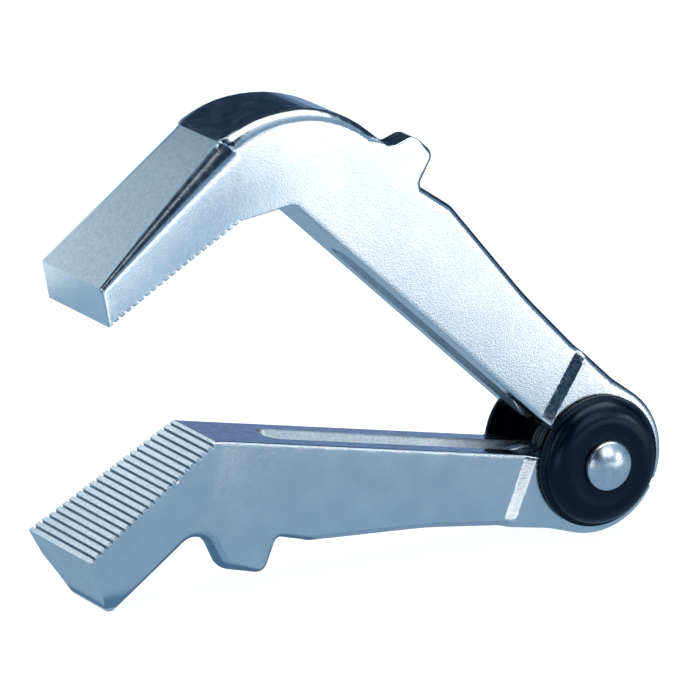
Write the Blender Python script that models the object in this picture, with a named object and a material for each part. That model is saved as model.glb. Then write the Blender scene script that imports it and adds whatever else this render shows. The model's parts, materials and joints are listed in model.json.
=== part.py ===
"""Sprung bevel vice clamp: two forged arms hinged at one end, each with a serrated jaw bent off at
an angle and a lug that hangs on a bench vice's jaw. A torsion spring in the hub opens the arms
until the lips of their hub halves meet.

Frame: +X from the jaws to the hinge, +Y along the hinge axis, +Z up. The clamp stands on a table
on its hub and on the lower jaw, open, with the origin under the middle of its box.

An arm is drawn in its own plane as (a, o), in millimetres: a runs from the hinge axis along the
arm towards the jaw, and o runs from the arm's inner face outwards, away from the other arm.
"""

import math

import bmesh
import bpy
from mathutils import Matrix, Vector

MM = 0.001

# Stance: how far each arm's inner face rises from the table, in degrees
LOWER_RISE = 10.5
OPENING = 31.8

# Hub
HUB_RADIUS = 16.1
HUB_HALF_WIDTH = 10.5
LIP_ANGLE = 164.1  # where the two hub halves meet, measured from each arm's direction
LIP_SETBACK = 0.16  # half the gap between the meeting lips
BORE_RADIUS = 6.1
CAVITY_RADIUS = 11.2
CAVITY_HALF_WIDTH = 5.0
BOSS_INNER = 8.8
BOSS_OUTER = 11.3
BOSS_HEIGHT = 1.4
BOSS_ANGLES = (6.0, 158.0)

# Arms
ARM_HALF_WIDTH = 9.0
JAW_HALF_WIDTH = 12.5
LOWER_FLARE = (90.0, 118.0)  # along the arm, where it widens into the jaw
UPPER_FLARE = (84.0, 114.0)
LOWER_DRAFT = 0.34  # how much each side of the lower jaw leans in, per millimetre of depth
HUB_STEP_START = 14.5
HUB_STEP_END = 16.7
HUB_STEP_SLANT = 0.18  # how far the step leans towards the jaw, per millimetre outwards
LOWER_FACE = 0.1  # the inner faces' offset outwards from the hinge axis
UPPER_FACE = -1.0
SLOT_HALF_WIDTH = 4.0
SLOT_END = 75.5
SLOT_FLOOR = 6.0
LUG_HEIGHT = 26.7
LUG_THICKNESS = 6.0  # from the arm's front side
LOWER_LUG_FOOT = (90.7, 20.4)  # where the arm's back meets the lug's jaw side
UPPER_LUG_FOOT = (88.0, 20.6)
LUG_FOOT_END = 71.0

# Serrations
RIDGE_PITCH = 1.73
GROOVE_WIDTH = 0.7
GROOVE_DEPTH = 0.6
LOWER_RIDGES = 21
UPPER_RIDGES = 21
LOWER_JAW = ((91.3, LOWER_FACE), (118.4, 25.4))  # serrated face, from the bend to the tip
UPPER_JAW = ((103.2, -8.6), (116.0, -44.5))

# Caps, rivet and sleeve
FIT_GAP = 0.3
CAP_RADIUS = 14.2
CAP_HEIGHT = 5.0
CAP_SLEEVE_RADIUS = 5.8
CAP_SLEEVE_END = 5.7  # distance from the middle plane
CAP_BORE = 4.1
SHANK_RADIUS = 3.8
RIVET_HEAD_RADIUS = 5.4
RIVET_HEAD_HEIGHT = 2.5
SPACER_RADIUS = 5.6
SPACER_HALF_LENGTH = 5.3

# Spring
WIRE_RADIUS = 1.0
COIL_RADIUS = 8.0
COIL_HALF_WIDTH = 2.9
COIL_FULL_TURNS = 2
LEG_START = 11.5
LEG_END = 34.0
LEG_TIP_DEPTH = 4.7

TURN_STEPS = 40
ARC_STEP = math.radians(12)


def clear_scene():
    for old in list(bpy.data.objects):
        bpy.data.objects.remove(old, do_unlink=True)


def make_material(name, color, roughness, metallic):
    material = bpy.data.materials.new(name)
    material.use_nodes = True
    shader = material.node_tree.nodes["Principled BSDF"]
    shader.inputs["Base Color"].default_value = (*color, 1.0)
    shader.inputs["Roughness"].default_value = roughness
    shader.inputs["Metallic"].default_value = metallic
    material.diffuse_color = (*color, 1.0)
    return material


def make_object(name, bm, material=None):
    """Turns a bmesh drawn in millimetres into an object in metres."""
    bmesh.ops.scale(bm, vec=(MM, MM, MM), verts=bm.verts)
    bmesh.ops.recalc_face_normals(bm, faces=bm.faces)
    mesh = bpy.data.meshes.new(name)
    bm.to_mesh(mesh)
    bm.free()
    if material:
        mesh.materials.append(material)
    part = bpy.data.objects.new(name, mesh)
    bpy.context.scene.collection.objects.link(part)
    return part


def shade_round(part, sharp_degrees=30):
    part.data.shade_smooth()
    part.data.set_sharp_from_angle(angle=math.radians(sharp_degrees))


# ---- outlines in an arm's plane ----


def arc(centre, radius, start_degrees, end_degrees):
    """Points on an arc, both ends included."""
    start = math.radians(start_degrees)
    sweep = math.radians(end_degrees) - start
    steps = max(2, math.ceil(abs(sweep) / ARC_STEP))
    angles = [start + sweep * i / steps for i in range(steps + 1)]
    return [(centre[0] + radius * math.cos(t), centre[1] + radius * math.sin(t)) for t in angles]


def fillet(before, corner, after, radius):
    """Points that round the corner between two straight edges."""
    corner = Vector(corner)
    back = (Vector(before) - corner).normalized()
    ahead = (Vector(after) - corner).normalized()
    half = back.angle(ahead) / 2
    centre = corner + (back + ahead).normalized() * (radius / math.sin(half))
    reach = radius / math.tan(half)
    first = corner + back * reach - centre
    sweep = first.angle_signed(corner + ahead * reach - centre)
    steps = max(1, math.ceil(abs(sweep) / ARC_STEP))
    points = []
    for i in range(steps + 1):
        turned = first.copy()
        turned.rotate(Matrix.Rotation(-sweep * i / steps, 2))
        points.append(tuple(centre + turned))
    return points


def rounded(corners):
    """Outline points of an open run of (a, o, radius) corners; the two ends stay sharp."""
    points = [corners[0][:2]]
    for before, corner, after in zip(corners, corners[1:], corners[2:]):
        if corner[2] > 0:
            points += fillet(before[:2], corner[:2], after[:2], corner[2])
        else:
            points.append(corner[:2])
    return points + [corners[-1][:2]]


def serrated(start, end, count):
    """Points of a jaw face: grooves cut below the line, the last one a ridge from the end."""
    start = Vector(start)
    end = Vector(end)
    along = (end - start).normalized()
    inward = Vector((-along.y, along.x))
    points = []
    for i in range(count):
        edge = end - along * RIDGE_PITCH * (count - i)
        for step, depth in ((0.0, 0.0), (0.3, GROOVE_DEPTH), (0.7, GROOVE_DEPTH), (1.0, 0.0)):
            points.append(tuple(edge + along * GROOVE_WIDTH * step + inward * depth))
    return points


def lip_points():
    """The hub half's outer arc and the straight face of its lip, in to the axis."""
    lip = math.radians(LIP_ANGLE)
    ray = Vector((math.cos(lip), math.sin(lip)))
    setback = Vector((math.sin(lip), -math.cos(lip))) * LIP_SETBACK
    outer = arc((0, 0), HUB_RADIUS, 82, LIP_ANGLE - 0.6)
    corner = ray * (HUB_RADIUS - 0.1) + setback
    near_axis = ray * 2.0 + setback
    return outer + [tuple(corner), tuple(near_axis)]


def back_corners(lug_start, lug_end, lift):
    """Corners along the arm's back, from its lug to the hub."""
    return [
        (lug_start, LUG_HEIGHT + lift, 3.0),
        (lug_end, LUG_HEIGHT + lift, 2.6),
        (lug_end - 2.2, 19.3 + lift, 1.4),
        (64.5, 20.4 + lift, 6.0),
        (37.0, 16.7 + lift, 90.0),
        (19.0, 15.6 + lift, 40.0),
        (8.0, 15.4 + lift, 9.0),
        (*arc((0, 0), HUB_RADIUS, 82, 90)[0], 0.0),
    ]


def hub_inner_corners(face):
    """The inner face near the axis, eased so that the closed arms still clear each other."""
    return [(2.0, 0.02, 0.0), (9.5, 0.02, 0.0), (12.0, face, 0.0)]


def lower_outline():
    """Straight arm whose jaw bends outwards."""
    tip_inner = LOWER_JAW[1]
    tip_outer = (108.9, 37.6, 1.6)
    inner = rounded(hub_inner_corners(LOWER_FACE) + [(*LOWER_JAW[0], 0.0)])
    face = serrated(*LOWER_JAW, LOWER_RIDGES)
    nose = rounded([(*tip_inner, 0.0), tip_outer, (90.3, 18.2, 4.2)] + back_corners(83.5, 74.6, 0.4))
    return inner + face + nose + lip_points()[1:]


def upper_outline():
    """Straight arm whose jaw hooks over inwards, with a rounded back."""
    bend = (95.7, UPPER_FACE, 1.5)
    tip_inner = UPPER_JAW[1]
    face = serrated(*UPPER_JAW, UPPER_RIDGES)
    inner = rounded(hub_inner_corners(UPPER_FACE) + [bend, (*UPPER_JAW[0], 0.0)])
    top_face = [tip_inner, (122.2, -39.7), (117.0, -1.6), (117.5, -0.9)]
    shoulder = arc((89.5, -7.5), 28.4, 14, 88)
    lug = rounded([(*shoulder[-1], 0.0), (88.3, 20.2, 2.0)] + back_corners(84.8, 75.6, -0.3))
    return inner[:-1] + face + top_face + shoulder[:-1] + lug + lip_points()[1:]


# ---- solids ----


def prism(outline, half_width, outward):
    """A bmesh prism of an (a, o) outline; outward is the local Z sign of o."""
    bm = bmesh.new()
    ring = [bm.verts.new((-a, -half_width, o * outward)) for a, o in outline]
    face = bm.faces.new(ring)
    swept = bmesh.ops.extrude_face_region(bm, geom=[face])
    moved = [v for v in swept["geom"] if isinstance(v, bmesh.types.BMVert)]
    bmesh.ops.translate(bm, vec=(0, 2 * half_width, 0), verts=moved)
    return bm


def cut_across(bm, a, slant, outward):
    """Adds edges where the plane a + slant * o crosses the mesh, so that the width can change."""
    bmesh.ops.bisect_plane(
        bm,
        geom=bm.verts[:] + bm.edges[:] + bm.faces[:],
        dist=1e-4,
        plane_co=(-a, 0, 0),
        plane_no=(-1, 0, -slant * outward),
    )


def half_width_at(a, o, flare, jaw, draft):
    """Half of the arm's width: wide hub, stepped down to the arm, flared to the jaw's tip.
    The jaw narrows by its draft for each millimetre behind its serrated face."""
    step = (a - HUB_STEP_SLANT * o - HUB_STEP_START) / (HUB_STEP_END - HUB_STEP_START)
    opened = min(1, max(0, (a - flare[0]) / (flare[1] - flare[0])))
    along = (Vector(jaw[1]) - Vector(jaw[0])).normalized()
    behind = along.cross(Vector((a, o)) - Vector(jaw[0]))
    width = HUB_HALF_WIDTH + (ARM_HALF_WIDTH - HUB_HALF_WIDTH) * min(1, max(0, step))
    return width + (JAW_HALF_WIDTH - ARM_HALF_WIDTH - draft * max(0, behind)) * opened


def arm_body(name, outline, outward, shape, material):
    """An arm without its holes: the prism with its real width at each place."""
    bm = prism(outline, ARM_HALF_WIDTH, outward)
    for a in shape[0]:
        cut_across(bm, a, 0.0, outward)
    for a in (HUB_STEP_START, HUB_STEP_END):
        cut_across(bm, a, HUB_STEP_SLANT, outward)
    for vert in bm.verts:
        half = half_width_at(-vert.co.x, vert.co.z * outward, *shape)
        vert.co.y = math.copysign(half, vert.co.y)
    return make_object(name, bm, material)


def drum(name, radius, half_width):
    """A cutter cylinder along the hinge axis."""
    bm = bmesh.new()
    bmesh.ops.create_cone(
        bm, cap_ends=True, segments=TURN_STEPS, radius1=radius, radius2=radius, depth=2 * half_width
    )
    bmesh.ops.rotate(bm, matrix=Matrix.Rotation(math.radians(90), 3, "X"), verts=bm.verts)
    return make_object(name, bm)


def block(name, low, high):
    """A cutter box between two corners."""
    bm = bmesh.new()
    bmesh.ops.create_cube(bm, size=1.0)
    size = [h - l for l, h in zip(low, high)]
    middle = [(h + l) / 2 for l, h in zip(low, high)]
    bmesh.ops.scale(bm, vec=size, verts=bm.verts)
    bmesh.ops.translate(bm, vec=middle, verts=bm.verts)
    return make_object(name, bm)


def combine(part, tool, operation):
    """Adds a Boolean and keeps its tool as a hidden wire guide on the same frame."""
    tool.hide_render = True
    tool.display_type = "WIRE"
    tool.parent = part
    boolean = part.modifiers.new(tool.name, "BOOLEAN")
    boolean.operation = operation
    boolean.solver = "EXACT"
    boolean.object = tool


def boss(name, outward):
    """Half ring on both of the arm's sides, which turns in the caps' pockets."""
    rim = arc((0, 0), BOSS_OUTER, *BOSS_ANGLES)
    rim += arc((0, 0), BOSS_INNER, *reversed(BOSS_ANGLES))
    return make_object(name, prism(rim, HUB_HALF_WIDTH + BOSS_HEIGHT, outward))


def slot(name, outward):
    """The spring leg's slot in the inner face, open to the hub cavity."""
    side = SLOT_HALF_WIDTH
    depths = sorted((-4.0 * outward, SLOT_FLOOR * outward))
    return block(name, (-SLOT_END, -side, depths[0]), (-CAVITY_RADIUS + 3, side, depths[1]))


def lug_relief(name, outward, foot):
    """Clears the back of the arm behind its lug, which is thinner than the arm is wide."""
    heights = sorted((foot[1] * outward, (LUG_HEIGHT + 4.0) * outward))
    front = LUG_THICKNESS - ARM_HALF_WIDTH
    return block(name, (-foot[0], front, heights[0]), (-LUG_FOOT_END, JAW_HALF_WIDTH, heights[1]))


def make_arm(name, outline, outward, shape, foot, material):
    arm = arm_body(name, outline, outward, shape, material)
    combine(arm, lug_relief(f"{name}_lug_relief", outward, foot), "DIFFERENCE")
    combine(arm, boss(f"{name}_boss", outward), "UNION")
    combine(arm, drum(f"{name}_cavity", CAVITY_RADIUS, CAVITY_HALF_WIDTH), "DIFFERENCE")
    combine(arm, drum(f"{name}_bore", BORE_RADIUS, 2 * HUB_HALF_WIDTH), "DIFFERENCE")
    combine(arm, slot(f"{name}_slot", outward), "DIFFERENCE")
    return arm


def turned(name, profile, material, side=1):
    """A solid turned round the hinge axis from a closed (distance along Y, radius) profile."""
    bm = bmesh.new()
    ring = [bm.verts.new((r, y * side, 0)) for y, r in profile]
    closed = profile[0][1] > 0 or profile[-1][1] > 0
    pairs = list(zip(ring, ring[1:])) + ([(ring[-1], ring[0])] if closed else [])
    edges = [bm.edges.new(pair) for pair in pairs]
    bmesh.ops.spin(
        bm, geom=ring + edges, axis=(0, 1, 0), cent=(0, 0, 0), angle=2 * math.pi,
        steps=TURN_STEPS, use_merge=True,
    )
    bmesh.ops.remove_doubles(bm, verts=bm.verts, dist=1e-4)
    part = make_object(name, bm, material)
    shade_round(part)
    return part


def make_cap(name, side, material):
    """Flanged cap: a pocket inside for the arms' half rings, and a sleeve that they turn on."""
    base = HUB_HALF_WIDTH + FIT_GAP
    face = HUB_HALF_WIDTH + CAP_HEIGHT
    pocket = base + BOSS_HEIGHT
    shoulder = [(face - 2.4 + y, 11.4 + r) for y, r in arc((0, 0), 2.4, 90, 0)]
    profile = [(CAP_SLEEVE_END, CAP_BORE), (CAP_SLEEVE_END, CAP_SLEEVE_RADIUS)]
    profile += [(base, CAP_SLEEVE_RADIUS), (base, BOSS_INNER - FIT_GAP)]
    profile += [(pocket, BOSS_INNER - FIT_GAP), (pocket, BOSS_OUTER + FIT_GAP)]
    profile += [(base, BOSS_OUTER + FIT_GAP), (base, CAP_RADIUS), (base + 0.9, CAP_RADIUS)]
    profile += [(base + 1.2, 13.8)] + shoulder
    profile += [(face, 10.4), (face - 0.5, 6.2), (face - 0.5, CAP_BORE)]
    return turned(name, profile, material, side)


def make_rivet(material):
    """Shank with a domed head at each end."""
    seat = HUB_HALF_WIDTH + CAP_HEIGHT - 0.5 + FIT_GAP
    reach = RIVET_HEAD_HEIGHT - 0.3
    ball = (RIVET_HEAD_RADIUS**2 + reach**2) / (2 * reach)
    widest = math.degrees(math.asin(RIVET_HEAD_RADIUS / ball))
    dome = arc((0, 0), ball, widest, 0)
    head = [(seat + 0.3 + y - ball + reach, r) for y, r in dome[:-1]]
    half = [(seat, SHANK_RADIUS), (seat, RIVET_HEAD_RADIUS)] + head
    half.append((seat + RIVET_HEAD_HEIGHT, 0.0))
    mirrored = [(-y, r) for y, r in reversed(half)]
    return turned("pivot_rivet", mirrored + half, material)


def make_spacer(material):
    """Tube on the rivet's shank that holds the two caps apart."""
    end = SPACER_HALF_LENGTH
    profile = [(-end, CAP_BORE), (-end, SPACER_RADIUS), (end, SPACER_RADIUS), (end, CAP_BORE)]
    return turned("spacer_sleeve", profile, material)


def leg_points(direction, outward, y):
    """A leg from the coil's bend out to the tip that rests on the arm's slot floor."""
    turn = Matrix.Rotation(math.radians(direction), 3, "Y")
    points = []
    for i in range(5):
        share = i / 4
        a = LEG_START + (LEG_END - LEG_START) * share
        o = 0.9 + (LEG_TIP_DEPTH - 0.9) * share
        points.append(turn @ Vector((-a, y, o * outward)))
    return points


def coil_points(start_degrees, end_degrees):
    """Points of the coil between two directions, both counted about +Y from -X."""
    steps = math.ceil(abs(end_degrees - start_degrees) / 16)
    points = []
    for i in range(steps + 1):
        share = i / steps
        angle = math.radians(start_degrees + (end_degrees - start_degrees) * share)
        y = COIL_HALF_WIDTH * (2 * share - 1)
        points.append(Vector((-COIL_RADIUS * math.cos(angle), y, COIL_RADIUS * math.sin(angle))))
    return points


def make_spring(material):
    """Coil round the sleeve, with a straight leg lying in each arm's slot."""
    lower = LOWER_RISE
    upper = LOWER_RISE + OPENING
    bend = 34.0
    lower_leg = leg_points(lower, -1, -COIL_HALF_WIDTH + 0.1)
    upper_leg = leg_points(upper, 1, COIL_HALF_WIDTH - 0.1)
    coil = coil_points(lower - bend, upper + bend - 360 * (COIL_FULL_TURNS + 1))
    points = lower_leg[::-1] + coil + upper_leg
    curve = bpy.data.curves.new("torsion_spring", "CURVE")
    curve.dimensions = "3D"
    curve.bevel_depth = WIRE_RADIUS * MM
    curve.bevel_resolution = 2
    curve.use_fill_caps = True
    curve.materials.append(material)
    spline = curve.splines.new("POLY")
    spline.points.add(len(points) - 1)
    for place, point in zip(spline.points, points):
        place.co = (*(point * MM), 1.0)
    spring = bpy.data.objects.new("torsion_spring", curve)
    bpy.context.scene.collection.objects.link(spring)
    return spring


def stand_up(pivot, arms):
    """Moves the hinge axis so that the clamp stands on Z = 0, centred over the origin."""
    bpy.context.view_layer.update()
    depsgraph = bpy.context.evaluated_depsgraph_get()
    points = []
    for arm in arms:
        solid = arm.evaluated_get(depsgraph)
        points += [solid.matrix_world @ vert.co for vert in solid.data.vertices]
    low_x = min(p.x for p in points)
    high_x = max(p.x for p in points)
    pivot.location = (-(low_x + high_x) / 2, 0, -min(p.z for p in points))


def main():
    clear_scene()
    plated = make_material("plated_steel", (0.62, 0.67, 0.72), 0.35, 1.0)
    moulded = make_material("black_plastic", (0.012, 0.014, 0.02), 0.45, 0.0)
    polished = make_material("polished_steel", (0.78, 0.8, 0.82), 0.12, 1.0)
    wire = make_material("spring_steel", (0.32, 0.33, 0.35), 0.3, 1.0)
    tube = make_material("sleeve_steel", (0.45, 0.46, 0.48), 0.4, 1.0)

    pivot = bpy.data.objects.new("hinge_axis", None)
    bpy.context.scene.collection.objects.link(pivot)

    lower_shape = (LOWER_FLARE, LOWER_JAW, LOWER_DRAFT)
    upper_shape = (UPPER_FLARE, UPPER_JAW, 0.0)
    lower = make_arm("lower_arm", lower_outline(), -1, lower_shape, LOWER_LUG_FOOT, plated)
    upper = make_arm("upper_arm", upper_outline(), 1, upper_shape, UPPER_LUG_FOOT, plated)
    lower.rotation_euler.y = math.radians(LOWER_RISE)
    upper.rotation_euler.y = math.radians(LOWER_RISE + OPENING)

    parts = [
        lower,
        upper,
        make_cap("front_cap", -1, moulded),
        make_cap("rear_cap", 1, moulded),
        make_rivet(polished),
        make_spacer(tube),
        make_spring(wire),
    ]
    for part in parts:
        part.parent = pivot
    stand_up(pivot, (lower, upper))


main()
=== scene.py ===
"""Looks of the sprung bevel vice clamp: two forged, plated steel arms hinged between black caps.

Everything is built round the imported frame, in metres. An arm is drawn in its own plane as (a, o),
in millimetres: a runs from the hinge axis along the arm towards the jaw, and o runs from the arm's
inner face outwards, away from the other arm. Its width is a function of (a, o), so that the sides
flare, step and round off without a seam.
"""

import json
import math

import bmesh
import bpy
import numpy as np
from mathutils import Matrix, Vector
from mathutils.geometry import delaunay_2d_cdt


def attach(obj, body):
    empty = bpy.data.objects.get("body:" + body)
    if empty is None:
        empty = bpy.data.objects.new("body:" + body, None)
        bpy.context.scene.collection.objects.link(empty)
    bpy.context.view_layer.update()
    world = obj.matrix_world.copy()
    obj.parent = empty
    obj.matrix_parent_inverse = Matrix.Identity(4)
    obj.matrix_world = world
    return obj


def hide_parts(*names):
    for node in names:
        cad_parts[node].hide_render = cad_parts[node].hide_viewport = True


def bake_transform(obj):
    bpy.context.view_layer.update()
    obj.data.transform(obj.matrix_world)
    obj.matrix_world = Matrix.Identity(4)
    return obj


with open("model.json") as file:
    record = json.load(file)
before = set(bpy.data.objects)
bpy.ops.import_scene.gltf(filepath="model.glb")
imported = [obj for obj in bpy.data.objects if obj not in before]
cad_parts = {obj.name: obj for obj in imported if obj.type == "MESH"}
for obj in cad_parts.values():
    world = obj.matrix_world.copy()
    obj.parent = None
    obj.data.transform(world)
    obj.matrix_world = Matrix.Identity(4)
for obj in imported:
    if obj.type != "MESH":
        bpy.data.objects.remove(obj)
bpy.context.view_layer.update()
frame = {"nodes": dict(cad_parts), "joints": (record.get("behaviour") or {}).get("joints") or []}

MM = 0.001

# Stance, as in the CAD
LOWER_RISE = 10.5
OPENING = 31.8
HINGE = next(joint for joint in frame["joints"] if joint["name"] == "arm_hinge")
PIVOT = Vector(HINGE["pos_m"])

# Hub
HUB_RADIUS = 16.08
HUB_HALF_WIDTH = 10.5
HUB_ARC_START = 82  # degrees, where the arm's back meets the hub
LIP_ANGLE = 164.1
LIP_SETBACK = 0.24
LIP_ROUND_ANGLE = 3.4  # degrees of the hub's arc that the lip's rounded corner takes
LIP_CORNER = ((0.15, 4), (0.7, 1))  # its two points: how far inside the arc, and how many setbacks
NEAR_AXIS = 2.0
BORE_RADIUS = 6.1
CAVITY_RADIUS = 11.2
CAVITY_HALF_WIDTH = 5.0

# Arms
ARM_HALF_WIDTH = 9.0
JAW_HALF_WIDTH = 13.2
HUB_STEP = (14.5, 16.7)  # where the side steps down from the hub to the arm
HUB_STEP_SLANT = 0.18
HUB_STEP_BEND = 0.12  # share of the step that each of its two bends takes
LOWER_FACE = 0.1
UPPER_FACE = -1.0
LOWER_JAW = ((91.3, LOWER_FACE), (118.4, 25.4))
UPPER_JAW = ((103.2, -8.6), (116.13, -44.86))

# A side's flare: where it begins and ends, how far its line leans, and the power of its curve
LOWER_FLARE = (90.0, 118.0, 0.0, 1.0)
UPPER_NEAR_FLARE = (30.0, 97.0, math.radians(60), 2.0)
UPPER_FAR_FLARE = (84.0, 114.0, 0.0, 1.0)

# A side's draft: how far behind the jaw's face the side begins to draw in, and how steeply
NEAR_DRAFT = (3.0, 0.46)
FAR_DRAFT = (6.0, 0.9)
NO_DRAFT = (0.0, 0.0)

# Each arm's jaw, with the flares and the drafts of its near and far sides
LOWER_SHAPE = (LOWER_JAW, (LOWER_FLARE, LOWER_FLARE), (NEAR_DRAFT, FAR_DRAFT))
UPPER_SHAPE = (UPPER_JAW, (UPPER_NEAR_FLARE, UPPER_FAR_FLARE), (NO_DRAFT, NO_DRAFT))

# The upper arm's crest: an arc that swells towards the jaw; its start and fade are in degrees
CREST_CENTRE = (89.5, -7.5)
CREST_RADIUS = 28.38
CREST_SWELL = 0.45
CREST_START = 15.5
CREST_FADE = 30

# Spring slot
SLOT_HALF_WIDTH = 4.0
SLOT_END = 75.5
SLOT_FLOOR = 6.0
SLOT_DRAFT = math.radians(20)
SLOT_CHAMFER = 0.25
SLOT_CORNER = 3.4

# Lug: a tab on the near side of the arm's back
LUG_THICKNESS = 6.0
LUG_REACH = (66.0, 90.4)  # the stretch of the arm that the lug stands in
LUG_FOOT = 20.9  # height at which the lug's far side leaves the arm's back
FOOT_STEP = 0.06  # gap between the two rows where the far side steps down
FOOT_ROWS = (-2.0, -1.0, -0.4, 0.0, FOOT_STEP, 0.5, 1.0)
FOOT_MARGIN = 2.6  # the grid keeps this far from the foot
FOOT_ROUND = 1.6
BACK_BEHIND_LUG = (70, 89)  # the stretch behind the lug where the back's far edge is rounded
BACK_DEPTH = 8

# Serrations
RIDGE_PITCH = 1.73
GROOVE_WIDTH = 0.62
GROOVE_DEPTH = 0.6
GROOVE_COUNT = 21

# Finishes, as places in an arm's list of materials; the groove copy is darker, painted shade
FORGED = 0
GROUND = 1
MILLED = 2
GROOVE = 3

# How far the long edges are rounded
FINE_EDGE = 0.22
INNER_EDGE = 0.5
OUTER_EDGE = 2.0
LUG_EDGE = 2.4
HUB_EDGE = 1.4
CREST_EDGE = 3.0

# Where a rounded edge is worn bright
WORN_SHARE = 0.9  # share of its radius that is worn
WORN_RADIUS = 0.9  # only edges rounded more than this
WORN_START = HUB_RADIUS + 2  # only beyond the hub

# Rows that follow a rounded edge: depth as a share of its radius, and the radius that it needs
EDGE_ROWS = ((0.035, 0.6), (0.13, 0.3), (0.28, 0), (0.48, 0.3), (0.72, 0.3), (1.0, 0))

# Mesh fineness
ARC_STEP = math.radians(6)
RUN_STEP = 0.9
GRID_STEP = 1.0
GRID_ROW = 0.87  # height of a grid's row, as a share of its step
CLOSE_STEP = 0.7
EDGE_MARGIN = 0.25  # the grid keeps this far from the rounded edge
BAND_MARGIN = 0.25  # narrow rows that keep the band between the sides flat up to its edges
TURN_STEPS = 96
WIRE_SIDES = 14
ARM_SHARP = 23  # degrees, above which a crease stays sharp
TURNED_SHARP = 40
WIRE_SHARP = 50

# Caps and rivet
CAP_RADIUS = 14.1
CAP_HEIGHT = 5.0
CAP_BORE = 4.1
CAP_SPIGOT_END = 5.7  # distance along Y, inside the hub's bore
CAP_SPIGOT_RADIUS = 5.8
CAP_RECESS = (8.5, 11.6, 1.4)  # inner and outer radius, and depth, of the ring in the cap's back
CAP_RIM = 0.25  # radius of the flange's two rounded corners
CAP_FLANGE = 0.9  # its thickness
SHOULDER_RADIUS = 9.2  # where the flat ends and the shoulder begins
SHOULDER_WIDTH = 3.9
SHOULDER_DEPTH = 2.7
FIT_GAP = 0.3
RIVET_HEAD_RADIUS = 5.4
RIVET_TOP = 17.8
SHANK_RADIUS = 3.8

# Spring
WIRE_RADIUS = 1.0
COIL_RADIUS = 8.0
COIL_HALF_WIDTH = 2.9
COIL_TURNS = 3
COIL_STEPS = 240
LEAD_ANGLE = 34.0  # degrees between a leg's line and its end of the coil
LEG_START = 9.6
LEG_END = 34.0
LEG_STEPS = 12
LEG_LIFT = 1.4  # how far a leg starts outside its slot, in the gap between the arms
LEG_CLIMB = 8.0  # what it would climb over its whole length
LEG_REST = 4.6  # where it stops climbing and lies in its slot
LEG_DRAW_IN = 0.38  # how far it comes in towards the slot's middle, as a share
LIT_WIRE_FROM = COIL_RADIUS + 1.2  # distance from the axis beyond which the wire keeps a light steel tone; inside it the coil's near-black tone is painted shade

# Looks
NOISE_RANGE = (0.3, 0.7)  # where most of a noise's values lie
BRIGHT = (1.37, 1.42, 1.48)
PALE = (0.75, 0.92, 1.0)
DUSK = (0.28, 0.40, 0.68)
NIGHT = (0.012, 0.035, 0.07)
DARK = (0.006, 0.024, 0.055)
FLOOR_LEVEL = -0.0004  # metres, just under the object
CARD_LEVEL = 0.001
DOME_STEPS = 12
FLOOR_STEPS = 64

# Camera
CAMERA_AZIMUTH = math.radians(-29.89)
CAMERA_ELEVATION = math.radians(15.85)
CAMERA_ROLL = math.radians(0.25)
CAMERA_DISTANCE = 1.641
CAMERA_LENS = 411.4
AIM = Vector((-0.00075, 0.0, 0.04485))


# ---- outlines in an arm's plane: lists of (a, o, edge radius, finish) ----


def arc(centre, radius, start_degrees, end_degrees, edge, finish):
    """Points round a centre; 0 degrees points along a and 90 along o."""
    start = math.radians(start_degrees)
    sweep = math.radians(end_degrees) - start
    steps = max(2, math.ceil(abs(sweep) / ARC_STEP))
    points = []
    for i in range(steps + 1):
        angle = start + sweep * i / steps
        a = centre[0] + radius * math.cos(angle)
        o = centre[1] + radius * math.sin(angle)
        points.append((a, o, edge, finish))
    return points


def fillet(before, corner, after):
    """Points that round a (a, o, bend radius, edge radius, finish) corner between two straight runs."""
    middle = Vector(corner[:2])
    back = (Vector(before[:2]) - middle).normalized()
    ahead = (Vector(after[:2]) - middle).normalized()
    half = back.angle(ahead) / 2
    centre = middle + (back + ahead).normalized() * (corner[2] / math.sin(half))
    reach = corner[2] / math.tan(half)
    first = middle + back * reach - centre
    sweep = first.angle_signed(middle + ahead * reach - centre)
    steps = max(2, math.ceil(abs(sweep) / ARC_STEP))
    points = []
    for i in range(steps + 1):
        turned = first.copy()
        turned.rotate(Matrix.Rotation(-sweep * i / steps, 2))
        points.append((*(centre + turned), *corner[3:]))
    return points


def rounded(corners):
    """Outline of an open run of (a, o, bend radius, edge radius, finish) corners."""
    points = [(*corners[0][:2], *corners[0][3:])]
    for before, corner, after in zip(corners, corners[1:], corners[2:]):
        if corner[2] > 0:
            points += fillet(before, corner, after)
        else:
            points.append((*corner[:2], *corner[3:]))
    return points + [(*corners[-1][:2], *corners[-1][3:])]


def serrated(start, end):
    """A jaw face: grooves with steep walls, cut below the line from start to end."""
    start = Vector(start)
    end = Vector(end)
    along = (end - start).normalized()
    inward = Vector((-along.y, along.x))
    # faces down in a groove take the darker groove copy: painted shade in the recess
    groove = (  # share of the width, share of the depth and finish
        (-0.1, 0.0, MILLED),
        (0.0, 0.06, MILLED),
        (0.06, 0.2, GROOVE),
        (0.26, 1.0, GROOVE),
        (0.74, 1.0, GROOVE),
        (0.94, 0.2, MILLED),
        (1.0, 0.06, MILLED),
        (1.1, 0.0, MILLED),
    )
    points = []
    for i in range(GROOVE_COUNT):
        edge = end - along * RIDGE_PITCH * (GROOVE_COUNT - i)
        for step, depth, finish in groove:
            place = edge + along * GROOVE_WIDTH * step + inward * GROOVE_DEPTH * depth
            points.append((*place, FINE_EDGE, finish))
    return points


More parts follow.
